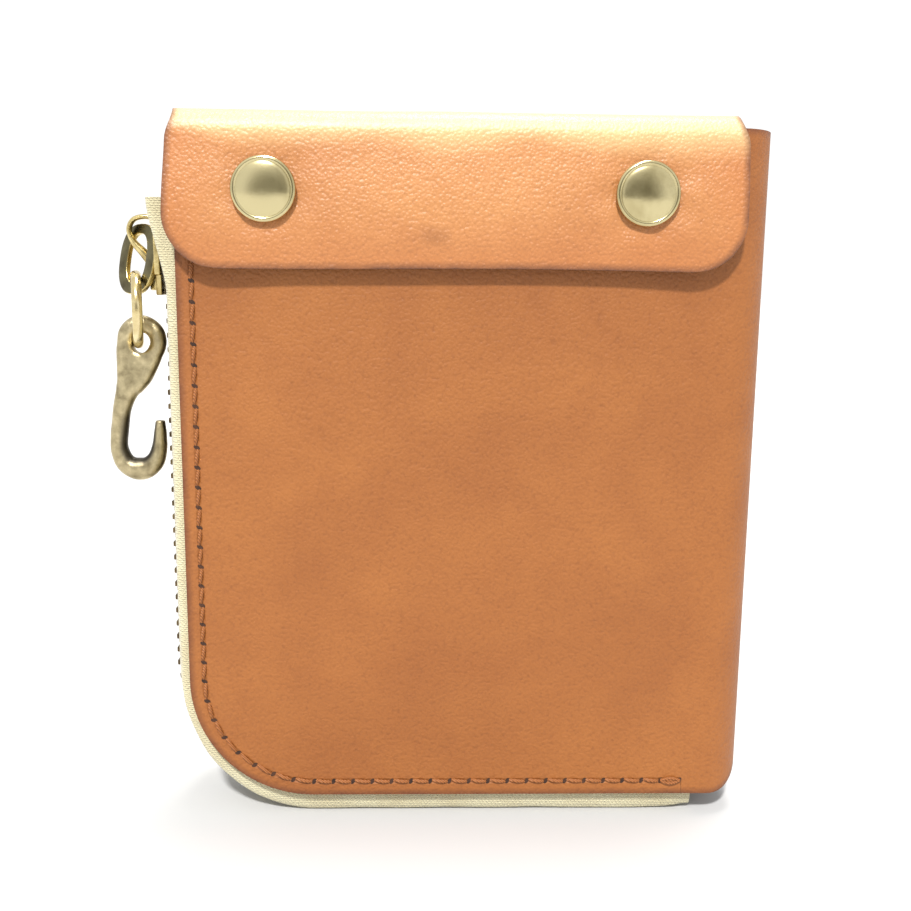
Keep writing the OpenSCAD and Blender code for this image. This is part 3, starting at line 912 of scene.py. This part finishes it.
def curve_through(stations, count):
    """Points along a smooth curve through rows of numbers."""
    out = []
    for i in range(len(stations) - 1):
        p = [stations[max(min(i + k, len(stations) - 1), 0)] for k in (-1, 0, 1, 2)]
        for j in range(count):
            t = j / count
            out.append([0.5 * (2 * b + (c - a) * t + (2 * a - 5 * b + 4 * c - d) * t * t
                               + (3 * b - a - 3 * c + d) * t ** 3)
                        for a, b, c, d in zip(*p)])
    return out + [list(stations[-1])]


def tab_piece():
    """The oval tab: a flat plate with a long slot, turned to face the front."""
    turn, tilt = math.radians(55), math.radians(12.3)
    across = Vector((-math.sin(turn), math.cos(turn), 0))
    face = Vector((math.cos(turn), math.sin(turn), 0))
    down = (Vector((0, 0, -1)) * math.cos(tilt) - face * math.sin(tilt)).normalized()
    normal = across.cross(down)
    pin = Vector((PIN_X, 0, TAB_TOP - 1.0))
    half_thick, aside = 0.58, 0.6

    def oval(half, top, low, count=40, power=2.5):
        mid, tall = (top + low) / 2, (low - top) / 2
        out = []
        for k in range(count):
            a = 2 * math.pi * k / count
            c, q = math.cos(a), math.sin(a)
            out.append((half * math.copysign(abs(c) ** (2 / power), c),
                        mid + tall * math.copysign(abs(q) ** (2 / power), q)))
        return out

    outline, slot = oval(5.25, -1.0, 13.4), oval(2.75, 1.0, 11.1)
    verts = []
    for loop in (outline, slot):
        for t in (-half_thick, half_thick):
            verts += [pin + across * (s + aside) + down * d + normal * t for s, d in loop]
    n = len(outline)
    faces = []
    for k in range(n):
        j = (k + 1) % n
        faces.append((k, j, n + j, n + k))
        faces.append((2 * n + j, 2 * n + k, 3 * n + k, 3 * n + j))
        faces.append((k, 2 * n + k, 2 * n + j, j))
        faces.append((n + j, 3 * n + j, 3 * n + k, n + k))
    obj = make("oval_tab", verts, faces)
    recalc(obj)
    bevel(obj, 0.28, 3, 60)
    obj.data.materials.append(SLIDER)
    obj.data.materials.append(BRASS_SHADED_COPY)
    # the faces that look front and back take the darker copy, which is painted shade; the rounded
    # rims keep the bright brass
    for f in obj.data.polygons:
        f.material_index = 1 if abs(f.normal.dot(normal)) > 0.93 else 0
    shade_smooth(obj.data)
    smooth_by_angle(obj, 40)
    dress(obj, "tab", ("pull_tab",))


def crown_piece():
    """The arch on the slider's face that carries the tab's pin."""
    rows = [  # out from the leather's edge, z from the top of the tab
        (6.0, 0.4), (8.3, 1.4), (11.0, 0.9), (12.1, -1.1), (11.3, -3.5), (9.2, -5.9), (7.2, -8.3)]
    fine = curve_through(rows, 8)
    points = [Vector((-HALF_W - u, 0, TAB_TOP + z)) for u, z in fine]
    widths = [0.52 + 0.55 * step(0.5, 0.95, i / len(fine)) for i in range(len(fine))]
    verts, faces = ellipse_tube(points, widths, [0.95] * len(fine))
    add_part(verts, faces, rounded_box((-HALF_W - 8.0, -1.6, TAB_TOP - 13.2),
                                       (-HALF_W - 6.1, 1.6, TAB_TOP - 6.9), 0.45))
    obj = make("slider_arch", verts, faces, "slider", "slider_brass", ("slider_crown",))
    recalc(obj)
    obj.data.materials.append(SLIDER)
    smooth_by_angle(obj, 50)


crown_piece()
tab_piece()


def ring_piece():
    """The jump ring, turned a little towards the front."""
    turn = math.radians(16)
    level = Vector((-math.sin(turn), math.cos(turn), 0))
    verts, faces = torus(RING_AT, level, Vector((0, 0, 1)), major=7.0, radial=0.88, axial=1.02)
    obj = make("bright_ring", verts, faces, "ring", "ring_brass", ("jump_ring",))
    recalc(obj)
    obj.data.materials.append(RING)


ring_piece()


def hook_piece():
    """A cast hook: drop-shaped head with a round eye, tapering shank, broad bend, short tip."""
    origin = Vector((RING_AT.x, RING_AT.y, RING_AT.z - 7.4))

    def bar(stations):
        fine = curve_through(stations, 6)
        return ellipse_tube([origin + Vector((q[0], 0, q[1])) for q in fine],
                            [q[2] for q in fine], [q[3] for q in fine])

    rows = [  # x from the ring's middle, z from the eye, half width, half depth
        (-0.2, -2.9, 3.6, 1.5), (-1.3, -6.2, 3.3, 1.65), (-2.8, -9.5, 2.3, 1.75),
        (-3.8, -12.5, 1.9, 1.75), (-4.3, -15.5, 1.8, 1.8), (-4.75, -18.8, 1.8, 1.8),
        (-4.8, -21.2, 1.8, 1.8),
        (-4.0, -23.6, 2.0, 1.9), (-2.6, -25.0, 2.25, 2.0), (-0.7, -25.4, 2.4, 2.1),
        (1.2, -24.9, 2.2, 2.0), (2.7, -23.3, 1.9, 1.9), (3.4, -21.0, 1.6, 1.7),
        (3.7, -18.0, 1.35, 1.45), (3.8, -15.2, 1.0, 1.1)]
    verts, faces = bar(rows)
    # The head's ring is a little narrower than it is high.
    add_part(verts, faces, torus(origin + Vector((0.7, 0, 1.0)), Vector((0.94, 0, 0)),
                                 Vector((0, 0, 1)), major=3.55, radial=1.8, axial=1.65))
    # Two bars carry the head's sides straight on into the shank.
    for side in (((-2.7, 2.6, 1.3, 1.3), (-3.0, 0.0, 1.5, 1.5), (-3.0, -3.0, 1.6, 1.6),
                  (-2.9, -6.5, 1.7, 1.6)),
                 ((4.0, 1.0, 1.3, 1.3), (3.6, -1.2, 1.4, 1.4), (2.5, -3.6, 1.5, 1.5),
                  (0.9, -6.4, 1.6, 1.6), (-1.0, -9.0, 1.3, 1.5))):
        add_part(verts, faces, bar(side))
    obj = make("cast_hook", verts, faces)
    recalc(obj)
    m = obj.modifiers.new("fine", "REMESH")
    m.mode = "VOXEL"
    m.voxel_size = 0.00022
    m = obj.modifiers.new("soft", "SMOOTH")
    m.factor = 0.6
    m.iterations = 9
    applied(obj)
    # The eye is pushed clear of anything the shank's top puts in it.
    eye, clear = origin + Vector((0.5, 0, 0.3)), 1.7
    # Painted shade: the value is 1 on the inner side of the bend, which is painted nearly black.
    loop = origin + Vector((-0.6, 0, -20.0))
    bend_shade = []
    for v in obj.data.vertices:
        p = v.co * 1000
        flat = Vector((p.x - eye.x, 0, p.z - eye.z))
        if flat.length < clear:
            flat = flat.normalized() * clear if flat.length > 1e-4 else Vector((clear, 0, 0))
            v.co = Vector((eye.x + flat.x, p.y, eye.z + flat.z)) * 0.001
        inward = Vector((loop.x - p.x, 0, (loop.z - p.z) * 0.6))
        near = 1 - step(3.5, 6.5, inward.length)
        bend_shade.append(near * step(0.0, 0.7, v.normal.dot(inward.normalized())))
    for v in obj.data.vertices:
        p = v.co * 1000
        v.co += v.normal * ripple(p.x, p.y, p.z, 2.6, 0.10) * 0.001
    point_values(obj, "bend_shade", bend_shade)
    shade_smooth(obj.data)
    obj.data.materials.append(ANTIQUE)
    dress(obj, "hook", ("hook",))


hook_piece()

# ---------------------------------------------------------------- inner leather
for node in ("front_lining", "back_lining", "centre_divider", "card_pocket_rear",
             "card_pocket_middle", "card_pocket_front", "coin_pocket_panel",
             "coin_pocket_gusset"):
    piece = soften(node, node + "_leather", "body", 0.22, 2, INNER)
    lo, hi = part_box(node)
    point_values(piece, "edge", [
        min(v.co.x - lo.x, hi.x - v.co.x, v.co.z - lo.z, hi.z - v.co.z) * 1000
        for v in piece.data.vertices])


# ---------------------------------------------------------------- stage, light and camera
def studio_floor(half=12000, below=0.05):
    verts = [(x, y, -below) for x, y in ((-half, -half), (half, -half), (half, half),
                                         (-half, half))]
    obj = make("studio_floor", verts, [(0, 1, 2, 3)])
    n = Material("studio_white")
    n.set(Base_Color=(0.48, 0.48, 0.48, 1), Roughness=0.9, Specular_IOR_Level=0.1)
    obj.data.materials.append(n.mat)


def sun(name, towards, strength, angle, tint):
    data = bpy.data.lights.new(name, "SUN")
    data.energy = strength
    data.angle = math.radians(angle)
    data.color = tint
    obj = add_object(name, data)
    obj.location = Vector(towards) * 0.5
    obj.rotation_mode = "QUATERNION"
    obj.rotation_quaternion = (-Vector(towards)).to_track_quat("-Z", "Y")


def studio_world():
    """White, but darker straight ahead of the wallet, so that the caps have something to reflect.

    The camera sees plain white everywhere.
    """
    world = bpy.data.worlds.new("studio")
    bpy.context.scene.world = world
    world.use_nodes = True
    n = Nodes(world.node_tree)
    split = n.add("ShaderNodeSeparateXYZ")
    n.link(n.coord, "Generated", split, 0)
    aside = n.math("MULTIPLY", (split, "X"), (split, "X"))
    behind = n.math("MULTIPLY_ADD", (split, "Z"), 0.9, (split, "Y"))
    behind = n.math("MULTIPLY_ADD", behind, 0.5, 0.5)
    away = n.math("MULTIPLY_ADD", aside, 1.2, behind)
    gradient = n.ramp(*away, [(0.12, (0.30, 0.29, 0.26)), (0.46, (1, 1, 1))])
    camera_ray = (n.add("ShaderNodeLightPath"), "Is Camera Ray")
    back = n.add("ShaderNodeBackground")
    n.link(*n.mix(camera_ray, (gradient, "Color"), (1, 1, 1)), back, "Color")
    back.inputs["Strength"].default_value = 1.08
    n.link(back, 0, n.add("ShaderNodeOutputWorld"), 0)


def add_camera(place, yaw, pitch, roll, lens):
    """A camera that looks along +Y when all the angles, in degrees, are 0."""
    yaw, pitch, roll = (math.radians(a) for a in (yaw, pitch, roll))
    ahead = Vector((math.sin(yaw) * math.cos(pitch), math.cos(yaw) * math.cos(pitch),
                    -math.sin(pitch)))
    right = Vector((math.cos(yaw), -math.sin(yaw), 0))
    up = right.cross(ahead)
    across = right * math.cos(roll) + up * math.sin(roll)
    above = up * math.cos(roll) - right * math.sin(roll)
    camera = add_object("camera", bpy.data.cameras.new("camera"))
    camera.data.lens = lens
    camera.data.sensor_width = 36
    camera.data.clip_start = 0.01
    camera.data.clip_end = 20
    axes = zip(across, above, -ahead, place)
    camera.matrix_world = Matrix((*axes, (0, 0, 0, 1)))
    bpy.context.scene.camera = camera


studio_floor()
sun("window_light", (-0.12, -0.80, 0.95), 4.4, 5, (1, 0.99, 0.97))
sun("ceiling_light", (0.07, 0.14, 1.0), 2.0, 18, (1, 0.99, 0.96))
studio_world()
add_camera((-0.0091, -0.2078, 0.1050 + BASE_Z * 0.001), 1.58, 9.6, 0.58, 39.5)
view = bpy.context.scene.view_settings
view.view_transform = "Standard"
view.exposure = 0.0

bpy.context.view_layer.update()
